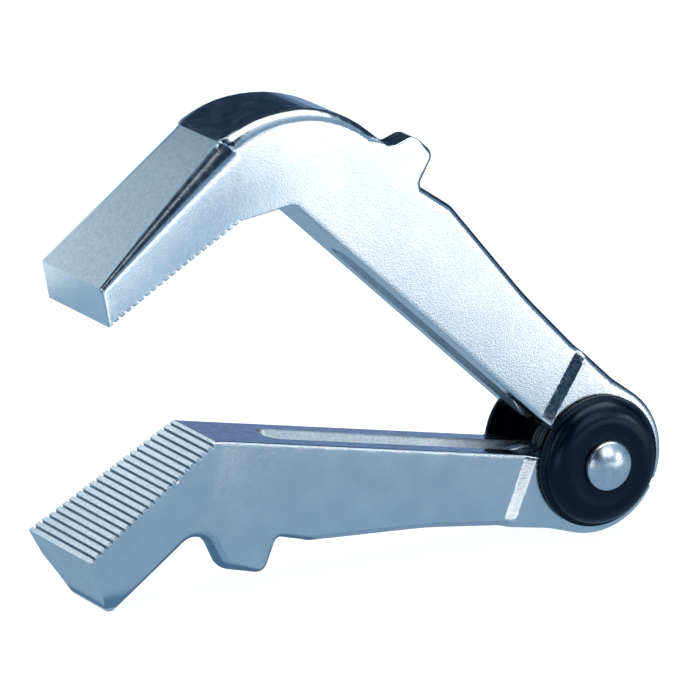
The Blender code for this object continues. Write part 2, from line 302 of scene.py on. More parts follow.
def hub_lip():
    """The hub half's outer arc, and the straight face of its lip, in to the axis."""
    lip = math.radians(LIP_ANGLE)
    ray = Vector((math.cos(lip), math.sin(lip)))
    setback = Vector((math.sin(lip), -math.cos(lip))) * LIP_SETBACK
    points = arc((0, 0), HUB_RADIUS, HUB_ARC_START, LIP_ANGLE - LIP_ROUND_ANGLE, HUB_EDGE, GROUND)[1:]
    for depth, setbacks in LIP_CORNER:
        points.append((*(ray * (HUB_RADIUS - depth) + setback * setbacks), HUB_EDGE, GROUND))
    points.append((*(ray * NEAR_AXIS + setback), INNER_EDGE, GROUND))
    return points


def back_corners():
    """Corners along the arm's back, from its lug to the hub."""
    hub = math.radians(HUB_ARC_START)
    return [
        (64.5, 20.4, 6.0, OUTER_EDGE, GROUND),
        (37.0, 16.7, 90.0, OUTER_EDGE, GROUND),
        (19.0, 15.6, 40.0, OUTER_EDGE, GROUND),
        (8.0, 15.4, 9.0, OUTER_EDGE, GROUND),
        (HUB_RADIUS * math.cos(hub), HUB_RADIUS * math.sin(hub), 0.0, HUB_EDGE, GROUND),
    ]


def hub_inner_corners(face):
    """Corners from the axis out to the arm's inner face."""
    return [
        (NEAR_AXIS, 0.02, 0.0, INNER_EDGE, GROUND),
        (9.5, 0.02, 0.0, INNER_EDGE, GROUND),
        (12.0, face, 3.0, INNER_EDGE, GROUND),
    ]


def lower_outline():
    """From the axis out along the inner face and the jaw, then back by the nose, the lug and the hub."""
    root = (*LOWER_JAW[0], 0.0, INNER_EDGE, MILLED)
    inner = rounded(hub_inner_corners(LOWER_FACE) + [root])
    nose = [
        (*LOWER_JAW[1], 0.0, FINE_EDGE, FORGED),
        (108.9, 37.6, 1.6, 0.7, FORGED),
        (90.3, 18.2, 4.2, LUG_EDGE, FORGED),
        (84.2, 27.3, 4.4, LUG_EDGE + 0.5, GROUND),
        (74.4, 27.3, 2.4, 1.3, GROUND),
        (72.4, 19.7, 1.4, 1.8, GROUND),
    ]
    return inner + serrated(*LOWER_JAW) + rounded(nose + back_corners()) + hub_lip()


def upper_outline():
    """From the axis out along the inner face and the jaw, then back by the crest, the lug and the hub."""
    inner = hub_inner_corners(UPPER_FACE)
    inner.append((95.7, UPPER_FACE, 2.5, INNER_EDGE, FORGED))
    inner.append((*UPPER_JAW[0], 0.0, INNER_EDGE, MILLED))
    top_face = [
        (*UPPER_JAW[1], 0.4, FORGED),
        (122.9, -40.1, 1.0, MILLED),
        (117.35, -1.3, CREST_EDGE + 1.0, GROUND),
        (117.65, -1.2, CREST_EDGE + 0.8, GROUND),
    ]
    shoulder = []
    for a, o, edge, finish in arc((0, 0), 1.0, CREST_START, 88, CREST_EDGE, GROUND):
        past_start = math.degrees(math.atan2(o, a)) - CREST_START
        radius = CREST_RADIUS + CREST_SWELL * max(0.0, 1 - past_start / CREST_FADE)
        shoulder.append((CREST_CENTRE[0] + radius * a, CREST_CENTRE[1] + radius * o, edge, finish))
    lug = [
        (*shoulder[-1][:2], 0.0, CREST_EDGE, GROUND),
        (85.3, 20.6, 3.0, 0.35, GROUND),
        (82.6, 25.9, 2.8, 0.35, GROUND),
        (75.8, 26.2, 2.2, 1.4, GROUND),
        (73.8, 19.0, 1.4, 1.8, GROUND),
    ]
    lug = rounded(lug + back_corners())
    return rounded(inner)[:-1] + serrated(*UPPER_JAW) + top_face + shoulder[:-1] + lug + hub_lip()


def subdivided(outline):
    """The closed outline with its long runs cut into steps, as an array of (a, o, edge radius, finish)."""
    points = []
    for start, end in zip(outline, outline[1:] + outline[:1]):
        length = math.dist(start[:2], end[:2])
        if length < 1e-4:
            continue
        steps = max(1, math.ceil(length / RUN_STEP))
        for i in range(steps):
            points.append([s + (e - s) * i / steps for s, e in zip(start[:3], end[:3])] + [start[3]])
    return np.array(points)


# ---- an arm's solid ----


def edge_distance(points, outline):
    """Distance from each point to the closed outline, and the edge radius at the nearest place."""
    start = outline[:, :2]
    run = np.roll(start, -1, axis=0) - start
    radii = outline[:, 2]
    next_radii = np.roll(radii, -1)
    offset = points[:, None, :] - start[None]
    share = np.clip((offset * run).sum(2) / (run**2).sum(1), 0, 1)
    gap = np.linalg.norm(offset - share[..., None] * run, axis=2)
    nearest = gap.argmin(1)
    rows = np.arange(len(points))
    part = share[rows, nearest]
    return gap[rows, nearest], radii[nearest] * (1 - part) + next_radii[nearest] * part


def rounding(distance, radius):
    """How far a rounded edge lies inside the flat side, at a distance from the outline."""
    left = radius - np.minimum(distance, radius)
    return radius - np.sqrt(np.maximum(radius**2 - left**2, 0))


def ramp(share):
    """From 0 to 1 in a straight slope with a short bend at each end."""
    bend = HUB_STEP_BEND
    share = np.clip(share, 0, 1)
    slope = 1 / (1 - bend)
    low = slope * share**2 / (2 * bend)
    high = 1 - slope * (1 - share) ** 2 / (2 * bend)
    return np.where(share < bend, low, np.where(share > 1 - bend, high, slope * (share - bend / 2)))


def half_width(points, jaw, flare, draft):
    """How far one side stands from the arm's middle: wide at the hub, stepped down to the arm, then
    flared towards the jaw, less what the side draws in behind the jaw's face."""
    a = points[:, 0]
    o = points[:, 1]
    begin, end, lean, power = flare
    depth, slope = draft
    step = (a - HUB_STEP_SLANT * o - HUB_STEP[0]) / (HUB_STEP[1] - HUB_STEP[0])
    run = a * math.cos(lean) - o * math.sin(lean)
    opened = np.clip((run - begin) / (end - begin), 0, 1) ** power
    along = np.subtract(jaw[1], jaw[0])
    along = along / np.linalg.norm(along)
    behind = along[0] * (o - jaw[0][1]) - along[1] * (a - jaw[0][0])
    width = HUB_HALF_WIDTH + (ARM_HALF_WIDTH - HUB_HALF_WIDTH) * ramp(step)
    return width + (JAW_HALF_WIDTH - ARM_HALF_WIDTH - slope * np.maximum(0, behind - depth)) * opened


def ring_points(outline):
    """Points inside the outline that follow its rounded edge."""
    ahead = np.roll(outline[:, :2], -1, axis=0) - outline[:, :2]
    behind = outline[:, :2] - np.roll(outline[:, :2], 1, axis=0)
    ahead /= np.linalg.norm(ahead, axis=1)[:, None]
    behind /= np.linalg.norm(behind, axis=1)[:, None]
    along = ahead + behind
    along /= np.maximum(np.linalg.norm(along, axis=1), 1e-6)[:, None]
    inward = np.stack([-along[:, 1], along[:, 0]], 1)
    rings = []
    for share, least_radius in EDGE_ROWS:
        depth = share * outline[:, 2:3]
        rings.append((outline[:, :2] + inward * depth)[outline[:, 2] > least_radius])
    return np.concatenate(rings)


def grid_points(outline):
    """A staggered grid over the outline's box, with closer rows across the hub step."""
    low = outline[:, :2].min(0)
    high = outline[:, :2].max(0)
    grid = []
    for k, o in enumerate(np.arange(low[1], high[1], GRID_STEP * GRID_ROW)):
        for a in np.arange(low[0], high[0], GRID_STEP):
            grid.append((a + GRID_STEP / 2 * (k % 2), o))
    for o in np.arange(0.5, HUB_RADIUS + 1.5, CLOSE_STEP):
        for a in np.linspace(HUB_STEP[0] - 0.2, HUB_STEP[1] + 0.2, 11):
            grid.append((a + HUB_STEP_SLANT * o, o))
    return np.array(grid)


def inside(points, outline):
    """True for each point that lies within the closed outline."""
    start = outline[:, :2]
    end = np.roll(start, -1, axis=0)
    x = points[:, None, 0]
    y = points[:, None, 1]
    crosses = (start[:, 1] > y) != (end[:, 1] > y)
    rise = np.where(end[:, 1] == start[:, 1], 1e-12, end[:, 1] - start[:, 1])
    at = start[:, 0] + (y - start[:, 1]) / rise * (end[:, 0] - start[:, 0])
    return (crosses & (x < at)).sum(1) % 2 == 1


def foot_points(outline):
    """Rows along the lug's foot, with a double row where the far side steps down."""
    row = np.arange(*LUG_REACH, CLOSE_STEP)
    feet = np.concatenate([np.stack([row, np.full_like(row, LUG_FOOT + step)], 1) for step in FOOT_ROWS])
    gap, _ = edge_distance(feet, outline)
    return feet[inside(feet, outline) & (gap > 0.1)]


def side_mesh(outline):
    """Triangulates the side from the outline's points, the rings, the lug's foot and the grid. Gives
    its points, its triangles and the outline's place in them."""
    rings = ring_points(outline)
    gap, radius = edge_distance(rings, outline)
    rings = rings[inside(rings, outline) & (gap / radius > 0.02)]
    feet = foot_points(outline)
    grid = grid_points(outline)
    gap, radius = edge_distance(grid, outline)
    near_foot = np.abs(grid[:, 1] - LUG_FOOT) < FOOT_MARGIN
    near_foot &= (grid[:, 0] > LUG_REACH[0] - 1) & (grid[:, 0] < LUG_REACH[1] + 1)
    grid = grid[inside(grid, outline) & (gap > radius + EDGE_MARGIN) & ~near_foot]
    count = len(outline)
    flat = [Vector(p[:2]) for p in outline] + [Vector(p) for p in np.concatenate([rings, feet, grid])]
    edges = [(i, (i + 1) % count) for i in range(count)]
    verts, _, faces, origins, _, _ = delaunay_2d_cdt(flat, edges, [list(range(count))], 1, 1e-4)
    back = {}
    for new, old in enumerate(origins):
        for index in old:
            back[index] = new
    rim = [back[i] for i in range(count)]
    return np.array([tuple(v) for v in verts]), faces, rim


def in_world(points, outward, rise):
    """Turns rows of (a, y, o) in an arm's plane into places in the frame, in metres."""
    turn = math.radians(rise)
    x = -points[:, 0]
    z = points[:, 2] * outward
    turned = np.stack([
        x * math.cos(turn) + z * math.sin(turn),
        points[:, 1],
        -x * math.sin(turn) + z * math.cos(turn),
    ], 1)
    return turned * MM + np.array(PIVOT)


def mesh_object(name, verts, faces, materials, slots=None):
    """A linked mesh object whose faces all point outwards."""
    mesh = bpy.data.meshes.new(name)
    mesh.from_pydata([tuple(v) for v in verts], [], [tuple(f) for f in faces])
    for material in materials:
        mesh.materials.append(material)
    if slots is not None:
        mesh.polygons.foreach_set("material_index", np.asarray(slots, dtype=np.int32))
    made = bmesh.new()
    made.from_mesh(mesh)
    bmesh.ops.recalc_face_normals(made, faces=made.faces)
    made.to_mesh(mesh)
    made.free()
    piece = bpy.data.objects.new(name, mesh)
    bpy.context.scene.collection.objects.link(piece)
    return piece


def shade(piece, sharp_degrees):
    """Smooth shading that keeps the creases sharp."""
    piece.data.shade_smooth()
    piece.data.set_sharp_from_angle(angle=math.radians(sharp_degrees))


def side_places(flat, gap, radius, shape):
    """Where the front and the far side lie across the arm, at each point of the side's mesh."""
    jaw, flares, drafts = shape
    near_width, far_width = (half_width(flat, jaw, flare, draft) for flare, draft in zip(flares, drafts))
    a = flat[:, 0]
    over = flat[:, 1] - LUG_FOOT
    in_lug = (over > FOOT_STEP / 2) & (a > LUG_REACH[0]) & (a < LUG_REACH[1])
    behind_lug = (over <= FOOT_STEP / 2) & (over > -BACK_DEPTH)
    behind_lug &= (a > BACK_BEHIND_LUG[0]) & (a < BACK_BEHIND_LUG[1])
    lug_rounding = rounding(gap, np.minimum(radius, LUG_THICKNESS / 2 - 0.1))
    foot_rounding = rounding(np.maximum(over, 0), FOOT_ROUND)

    front = np.where(in_lug, lug_rounding, rounding(gap, radius)) - near_width
    far_gap = np.where(behind_lug, np.minimum(gap, np.abs(over)), gap)
    far_radius = np.where(behind_lug, OUTER_EDGE, radius)
    lug_far = LUG_THICKNESS - ARM_HALF_WIDTH - lug_rounding + foot_rounding
    return front, np.where(in_lug, lug_far, far_width - rounding(far_gap, far_radius))


def arm_solid(name, outline, shape, outward, rise, materials):
    """One arm before its holes are cut: a front side, a far side and the band between them."""
    outline = subdivided(outline)
    flat, triangles, rim = side_mesh(outline)
    gap, radius = edge_distance(flat, outline)
    front, far = side_places(flat, gap, radius, shape)
    count = len(flat)
    edge = flat[rim]
    verts = np.concatenate([
        np.stack([flat[:, 0], front, flat[:, 1]], 1),
        np.stack([flat[:, 0], far, flat[:, 1]], 1),
        np.stack([edge[:, 0], front[rim] + BAND_MARGIN, edge[:, 1]], 1),
        np.stack([edge[:, 0], far[rim] - BAND_MARGIN, edge[:, 1]], 1),
    ])
    faces = [tuple(t) for t in triangles]
    faces += [tuple(i + count for i in reversed(t)) for t in triangles]
    worn = (gap < WORN_SHARE * radius) & (radius > WORN_RADIUS) & (flat[:, 0] > WORN_START)
    slots = [GROUND if worn[list(t)].all() else FORGED for t in triangles] * 2
    size = len(rim)
    rows = [
        rim,
        list(range(2 * count, 2 * count + size)),
        list(range(2 * count + size, 2 * count + 2 * size)),
        [i + count for i in rim],
    ]
    for one, two in zip(rows, rows[1:]):
        faces += [(one[k], one[(k + 1) % size], two[(k + 1) % size], two[k]) for k in range(size)]
        slots += outline[:, 3].astype(int).tolist()
    return mesh_object(name, in_world(verts, outward, rise), faces, materials, slots)


def drum(radius, half_length):
    """A cutter cylinder along the hinge axis."""
    steps = TURN_STEPS
    angles = [2 * math.pi * i / steps for i in range(steps)]
    ring = [(radius * math.cos(angle), radius * math.sin(angle)) for angle in angles]
    verts = [(a, side * half_length, o) for side in (-1, 1) for a, o in ring]
    faces = [tuple(range(steps)), tuple(range(2 * steps - 1, steps - 1, -1))]
    faces += [(i, (i + 1) % steps, (i + 1) % steps + steps, i + steps) for i in range(steps)]
    return verts, faces


def slot_cutter(face):
    """The spring's slot: forged with draft, rounded at its end, with a broken edge at its mouth and a
    rounded corner round its floor."""
    levels = []
    above = 3.0
    start = CAVITY_RADIUS - 3
    floor_half = SLOT_HALF_WIDTH - (SLOT_FLOOR - face) * math.tan(SLOT_DRAFT)
    for o, half, end in (  # height, half of the width and end of each level, down to the floor
        (face - above, SLOT_HALF_WIDTH + SLOT_CHAMFER + above, SLOT_END + SLOT_CHAMFER + above),
        (face + SLOT_CHAMFER, SLOT_HALF_WIDTH, SLOT_END),
        (SLOT_FLOOR - 0.8, floor_half + 0.15, SLOT_END - 1.3),
        (SLOT_FLOOR - 0.25, floor_half - 0.25, SLOT_END - 1.7),
        (SLOT_FLOOR, floor_half - 0.9, SLOT_END - 2.4),
    ):
        corner = min(SLOT_CORNER, half - 0.2)
        slot_end = arc((end - corner, corner - half), corner, -90, 0, 0, FORGED)
        slot_end += arc((end - corner, half - corner), corner, 0, 90, 0, FORGED)
        loop = [(start, -half), *[point[:2] for point in slot_end], (start, half)]
        levels.append([(a, y, o) for a, y in loop])
    size = len(levels[0])
    verts = [v for level in levels for v in level]
    faces = [tuple(range(size)), tuple(reversed(range(len(verts) - size, len(verts))))]
    for k in range(len(levels) - 1):
        for i in range(size):
            j = (i + 1) % size
            faces.append((k * size + i, k * size + j, (k + 1) * size + j, (k + 1) * size + i))
    return verts, faces


def carve(piece, shapes, outward, rise, material):
    """Cuts the closed shapes, given in the arm's plane, out of the piece for good."""
    for verts, faces in shapes:
        cutter = mesh_object("cutter", in_world(np.array(verts), outward, rise), faces, [material])
        cut = piece.modifiers.new("cut", "BOOLEAN")
        cut.operation = "DIFFERENCE"
        cut.solver = "EXACT"
        cut.material_mode = "TRANSFER"
        cut.object = cutter
        depsgraph = bpy.context.evaluated_depsgraph_get()
        carved = bpy.data.meshes.new_from_object(piece.evaluated_get(depsgraph))
        piece.modifiers.clear()
        piece.data = carved
        bpy.data.objects.remove(cutter, do_unlink=True)


def make_arm(name, outline, shape, outward, rise, face, finishes, slot_finish_and_shade):
    """One arm with its slot, the spring's cavity and the rivet's bore cut out."""
    arm = arm_solid(name, outline, shape, outward, rise, finishes)
    cavity = drum(CAVITY_RADIUS, CAVITY_HALF_WIDTH)
    bore = drum(BORE_RADIUS, 2 * HUB_HALF_WIDTH)
    # the slot's faces take its material: milled on the lower arm, and the darker groove copy, painted
    # shade, on the upper
    carve(arm, [slot_cutter(face), cavity, bore], outward, rise, slot_finish_and_shade)
    shade(arm, ARM_SHARP)
    return arm


# ---- turned pieces ----


def turned(name, profile, material, side=1):
    """A solid turned round the hinge axis from (distance along Y, radius) points, in millimetres."""
    steps = TURN_STEPS
    verts = []
    loops = []
    for y, radius in profile:
        if radius < 1e-6:
            loops.append([len(verts)] * steps)
            verts.append((0, y * side, 0))
            continue
        loops.append(list(range(len(verts), len(verts) + steps)))
        for i in range(steps):
            angle = 2 * math.pi * i / steps
            verts.append((radius * math.cos(angle), y * side, radius * math.sin(angle)))
    faces = []
    closed = profile[0][1] > 0
    pairs = list(zip(loops, loops[1:])) + ([(loops[-1], loops[0])] if closed else [])
    for one, two in pairs:
        for i in range(steps):
            j = (i + 1) % steps
            corners = [one[i], one[j], two[j], two[i]]
            faces.append(tuple(dict.fromkeys(corners)))
    places = np.array(verts) * MM + np.array(PIVOT)
    piece = mesh_object(name, places, faces, [material])
    shade(piece, TURNED_SHARP)
    return piece


def profile_arc(centre, radius, start_degrees, end_degrees, steps):
    """(y, r) points round a centre; 0 degrees points outwards along Y and 90 away from the axis."""
    points = []
    for i in range(steps + 1):
        angle = math.radians(start_degrees + (end_degrees - start_degrees) * i / steps)
        points.append((centre[0] + radius * math.cos(angle), centre[1] + radius * math.sin(angle)))
    return points


def make_cap(name, side, material):
    """Flanged cap with a rounded shoulder and a shallow dish round the rivet."""
    base = HUB_HALF_WIDTH + FIT_GAP
    face = HUB_HALF_WIDTH + CAP_HEIGHT - 0.4
    rim = CAP_RADIUS - CAP_RIM
    recess_inner, recess_outer, recess_depth = CAP_RECESS
    back = [(CAP_SPIGOT_END, CAP_BORE), (CAP_SPIGOT_END, CAP_SPIGOT_RADIUS), (base, CAP_SPIGOT_RADIUS)]
    back += [(base, recess_inner), (base + recess_depth, recess_inner)]
    back += [(base + recess_depth, recess_outer), (base, recess_outer), (base, rim)]
    flange = profile_arc((base + CAP_RIM, rim), CAP_RIM, 180, 90, 3)
    flange += profile_arc((base + CAP_FLANGE - CAP_RIM, rim), CAP_RIM, 90, 0, 3)
    neck = [(base + 1.0, 13.4), (base + 1.2, 13.15)]
    shoulder = []
    for y, r in profile_arc((0, 0), 1.0, 82, 0, 14):
        shoulder.append((face - SHOULDER_DEPTH + SHOULDER_DEPTH * y, SHOULDER_RADIUS + SHOULDER_WIDTH * r))
    dish = [(face, 9.0), (face - 0.04, 8.6), (face - 0.2, 7.4), (face - 0.25, 6.3), (face - 0.25, CAP_BORE)]
    return turned(name, back + flange + neck + shoulder + dish, material, side)


def make_rivet(material):
    """Shank with a polished dome at each end."""
    seat = HUB_HALF_WIDTH + CAP_HEIGHT + 0.1
    under = seat - 0.6
    bevel = 0.1
    rise = RIVET_TOP - seat - 0.3
    ball = (RIVET_HEAD_RADIUS**2 + rise**2) / (2 * rise)
    widest = math.degrees(math.asin(RIVET_HEAD_RADIUS / ball))
    dome = profile_arc((RIVET_TOP - ball, 0.0), ball, widest, 0, 18)
    half = [(under, SHANK_RADIUS), (under, RIVET_HEAD_RADIUS - bevel), (under + bevel, RIVET_HEAD_RADIUS)]
    half += [(seat - 0.08, RIVET_HEAD_RADIUS), *dome[1:-1], (RIVET_TOP, 0.0)]
    mirrored = [(-y, r) for y, r in reversed(half)]
    return turned("pivot_rivet_polished", mirrored + half, material)


# ---- spring ----


def spring_path():
    """The wire's middle line round the hinge, in millimetres: leg, coil, leg."""
    lower = LOWER_RISE
    upper = LOWER_RISE + OPENING

    def leg(direction, outward, y):
        """Points of a leg from the hub out into its slot."""
        turn = Matrix.Rotation(math.radians(direction), 3, "Y")
        places = []
        for i in range(LEG_STEPS + 1):
            share = i / LEG_STEPS
            a = LEG_START + (LEG_END - LEG_START) * share
            o = min(LEG_REST, LEG_CLIMB * share - LEG_LIFT)
            places.append(turn @ Vector((-a, y * (1 - LEG_DRAW_IN * share), o * outward)))
        return places

    start = lower - LEAD_ANGLE
    end = upper + LEAD_ANGLE - 360 * COIL_TURNS
    coil = []
    for i in range(COIL_STEPS + 1):
        share = i / COIL_STEPS
        angle = math.radians(start + (end - start) * share)
        y = COIL_HALF_WIDTH * (2 * share - 1)
        coil.append(Vector((-COIL_RADIUS * math.cos(angle), y, COIL_RADIUS * math.sin(angle))))
    lower_leg = leg(lower, -1, -COIL_HALF_WIDTH + 0.1)
    upper_leg = leg(upper, 1, COIL_HALF_WIDTH - 0.1)
    return lower_leg[::-1] + coil + upper_leg


def eased(path, rounds):
    """The path with its corners eased; both ends stay."""
    points = [Vector(p) for p in path]
    for _ in range(rounds):
        middle = [(a + b * 2 + c) / 4 for a, b, c in zip(points, points[1:], points[2:])]
        points = [points[0]] + middle + [points[-1]]
    return points


def wire_along(name, path, materials):
    """The spring's round wire, a little thinner at its two ends. Beyond a given distance from the axis it
    has the second material, the lit copy; the coil has the first, near-black copy, which is painted shade."""
    sides = WIRE_SIDES
    verts = []
    faces = []
    tangent = (path[1] - path[0]).normalized()
    side = tangent.cross(Vector((0, 1, 0))).normalized()
    for i, place in enumerate(path):
        ahead = path[min(i + 1, len(path) - 1)]
        behind = path[max(i - 1, 0)]
        tangent = (ahead - behind).normalized()
        side = (side - tangent * side.dot(tangent)).normalized()
        other = tangent.cross(side)
        radius = WIRE_RADIUS * (0.8 if i in (0, len(path) - 1) else 1.0)
        for k in range(sides):
            angle = 2 * math.pi * k / sides
            verts.append(place + (side * math.cos(angle) + other * math.sin(angle)) * radius)
    for i in range(len(path) - 1):
        for k in range(sides):
            n = (k + 1) % sides
            faces.append((i * sides + k, i * sides + n, (i + 1) * sides + n, (i + 1) * sides + k))
    faces.append(tuple(reversed(range(sides))))
    faces.append(tuple(range(len(verts) - sides, len(verts))))
    # the coil takes the near-black copy, painted shade, and the legs take the lit copy
    slots = []
    for face in faces:
        corner = verts[face[0]]
        slots.append(int(math.hypot(corner.x, corner.z) > LIT_WIRE_FROM))
    places = [v * MM + PIVOT for v in verts]
    piece = mesh_object(name, places, faces, materials, slots)
    shade(piece, WIRE_SHARP)
    return piece


# ---- materials ----


def new_material(name, metallic=1.0):
    """The material, its node tree and its shader."""
    material = bpy.data.materials.new(name)
    material.use_nodes = True
    tree = material.node_tree
    shader = tree.nodes["Principled BSDF"]
    shader.inputs["Metallic"].default_value = metallic
    return material, tree, shader


def noise(tree, scale, detail, roughness=0.5, stretch=None):
    """Object-space noise; scale is in features per metre, times the stretch along each axis."""
    place = tree.nodes.new("ShaderNodeTexCoord").outputs["Object"]
    if stretch is not None:
        mapping = tree.nodes.new("ShaderNodeMapping")
        mapping.inputs["Scale"].default_value = stretch
        tree.links.new(place, mapping.inputs["Vector"])
        place = mapping.outputs["Vector"]
    texture = tree.nodes.new("ShaderNodeTexNoise")
    texture.inputs["Scale"].default_value = scale
    texture.inputs["Detail"].default_value = detail
    texture.inputs["Roughness"].default_value = roughness
    tree.links.new(place, texture.inputs["Vector"])
    return texture.outputs["Fac"]


def ranged(tree, value, low, high):
    """Spreads the middle of a noise's values from low to high."""
    node = tree.nodes.new("ShaderNodeMapRange")
    node.inputs["From Min"].default_value = NOISE_RANGE[0]
    node.inputs["From Max"].default_value = NOISE_RANGE[1]
    node.inputs["To Min"].default_value = low
    node.inputs["To Max"].default_value = high
    tree.links.new(value, node.inputs["Value"])
    return node.outputs["Result"]


def tint(tree, shader, value, first, second):
    """Base colour that drifts between two tones with the noise."""
    node = tree.nodes.new("ShaderNodeMix")
    node.data_type = "RGBA"
    node.inputs["A"].default_value = (*first, 1)
    node.inputs["B"].default_value = (*second, 1)
    tree.links.new(ranged(tree, value, 0, 1), node.inputs["Factor"])
    tree.links.new(node.outputs["Result"], shader.inputs["Base Color"])


def dull(tree, shader, scale, detail, low, high):
    """Roughness that varies between low and high in patches."""
    patches = noise(tree, scale, detail)
    tree.links.new(ranged(tree, patches, low, high), shader.inputs["Roughness"])


def bumped(tree, height, distance, strength, under=None):
    """Relief from a noise, on top of the relief under it."""
    node = tree.nodes.new("ShaderNodeBump")
    node.inputs["Distance"].default_value = distance
    node.inputs["Strength"].default_value = strength
    tree.links.new(height, node.inputs["Height"])
    if under is not None:
        tree.links.new(under, node.inputs["Normal"])
    return node.outputs["Normal"]


def plated_steel(name, dark, light, roughness, grain, grain_scale, cloud_scale=140):
    """Bright zinc plating over steel: cloudy tone, fine grain and a slight orange peel. The grain is
    the strength of its relief, and both scales are in features per metre."""
    material, tree, shader = new_material(name)
    tint(tree, shader, noise(tree, cloud_scale, 4), dark, light)
    dull(tree, shader, 900, 3, roughness - 0.05, roughness + 0.06)
    peel = bumped(tree, noise(tree, 320, 2), 0.0004, 0.1 * grain)
    fine = bumped(tree, noise(tree, grain_scale, 3, 0.6), 0.00012, grain, peel)
    tree.links.new(fine, shader.inputs["Normal"])
    return material


def ground_steel(name, dark, light, roughness):
    """Belt-ground plated steel: fine lines across the arm, along Y."""
    material, tree, shader = new_material(name)
    lines = noise(tree, 2600, 3, stretch=(1, 0.06, 1))
    tint(tree, shader, lines, dark, light)
    dull(tree, shader, 500, 3, roughness - 0.04, roughness + 0.06)
    tree.links.new(bumped(tree, lines, 0.00006, 0.35), shader.inputs["Normal"])
    return material


def black_moulding(name):
    """Satin black plastic with a faint moulded texture."""
    material, tree, shader = new_material(name, metallic=0.0)
    tint(tree, shader, noise(tree, 420, 3), (0.0001, 0.0009, 0.005), (0.0003, 0.0016, 0.008))
    dull(tree, shader, 1500, 3, 0.2, 0.32)
    tree.links.new(bumped(tree, noise(tree, 2600, 2), 0.00003, 0.35), shader.inputs["Normal"])
    shader.inputs["Specular IOR Level"].default_value = 0.42
    shader.inputs["Specular Tint"].default_value = (0.45, 0.7, 1.0, 1)
    return material


def polished_steel(name):
    """Polished rivet steel with faint tumbling marks."""
    material, tree, shader = new_material(name)
    tint(tree, shader, noise(tree, 600, 4), (0.62, 0.68, 0.74), (0.78, 0.82, 0.86))
    dull(tree, shader, 1400, 4, 0.2, 0.3)
    tree.links.new(bumped(tree, noise(tree, 1800, 4), 0.00002, 0.5), shader.inputs["Normal"])
    return material


def spring_steel(name, dark, light):
    """Drawn spring wire with fine marks."""
    material, tree, shader = new_material(name)
    tint(tree, shader, noise(tree, 900, 4), dark, light)
    dull(tree, shader, 2000, 3, 0.22, 0.38)
    tree.links.new(bumped(tree, noise(tree, 3000, 3), 0.00002, 0.5), shader.inputs["Normal"])
    return material


# ---- studio ----


def make_camera():
    """The photograph's view: a long lens that looks from the left and a little from above."""
    data = bpy.data.cameras.new("camera")
    data.lens = CAMERA_LENS
    data.sensor_width = 36
    data.clip_start = 0.05
    data.clip_end = 30
    camera = bpy.data.objects.new("camera", data)
    back = Vector((
        math.sin(CAMERA_AZIMUTH) * math.cos(CAMERA_ELEVATION),
        -math.cos(CAMERA_AZIMUTH) * math.cos(CAMERA_ELEVATION),
        math.sin(CAMERA_ELEVATION),
    ))
    camera.location = AIM + back * CAMERA_DISTANCE
    level = (-back).to_track_quat("-Z", "Y").to_matrix()
    camera.rotation_euler = (level @ Matrix.Rotation(CAMERA_ROLL, 3, "Z")).to_euler()
    bpy.context.scene.collection.objects.link(camera)
    bpy.context.scene.camera = camera


def soft_light(name, place, aim, size, power):
    """A rectangular softbox that shines from place towards aim."""
    data = bpy.data.lights.new(name, "AREA")
    data.shape = "RECTANGLE"
    data.size = size[0]
    data.size_y = size[1]
    data.energy = power
    light = bpy.data.objects.new(name, data)
    light.location = place
    light.rotation_euler = (Vector(aim) - Vector(place)).to_track_quat("-Z", "Y").to_euler()
    light.visible_camera = False
    bpy.context.scene.collection.objects.link(light)


def card(name, corners, faces, color):
    """A glowing studio card that only shows in reflections."""
    material = bpy.data.materials.new(name)
    material.use_nodes = True
    tree = material.node_tree
    tree.nodes.clear()
    out = tree.nodes.new("ShaderNodeOutputMaterial")
    glow = tree.nodes.new("ShaderNodeEmission")
    glow.inputs["Color"].default_value = (*color, 1)
    tree.links.new(glow.outputs["Emission"], out.inputs["Surface"])
    mesh = bpy.data.meshes.new(name)
    mesh.from_pydata(corners, [], faces)
    mesh.materials.append(material)
    piece = bpy.data.objects.new(name, mesh)
    bpy.context.scene.collection.objects.link(piece)
    piece.visible_camera = False
    piece.visible_diffuse = False
    piece.visible_shadow = False
    piece.visible_transmission = False


def floor_card(name, places, color, level=CARD_LEVEL):
    """A level card over (x, y) places."""
    card(name, [(x, y, level) for x, y in places], [tuple(range(len(places)))], color)


def wall_card(name, y, places, color):
    """An upright card, square to Y, over (x, z) places."""
    card(name, [(x, y, z) for x, z in places], [tuple(range(len(places)))], color)


def sky_card(name, turns, heights, distance, color):
    """A patch of a dome round the hinge: degrees from -Y towards +X, and degrees up."""
    across = DOME_STEPS
    corners = []
    for j in range(across + 1):
        height = math.radians(heights[0] + (heights[1] - heights[0]) * j / across)
        for i in range(across + 1):
            turn = math.radians(turns[0] + (turns[1] - turns[0]) * i / across)
            level = math.cos(height)
            way = Vector((math.sin(turn) * level, -math.cos(turn) * level, math.sin(height)))
            corners.append(PIVOT + way * distance)
    row = across + 1
    faces = [
        (j * row + i, j * row + i + 1, (j + 1) * row + i + 1, (j + 1) * row + i)
        for j in range(across)
        for i in range(across)
    ]
    card(name, corners, faces, color)


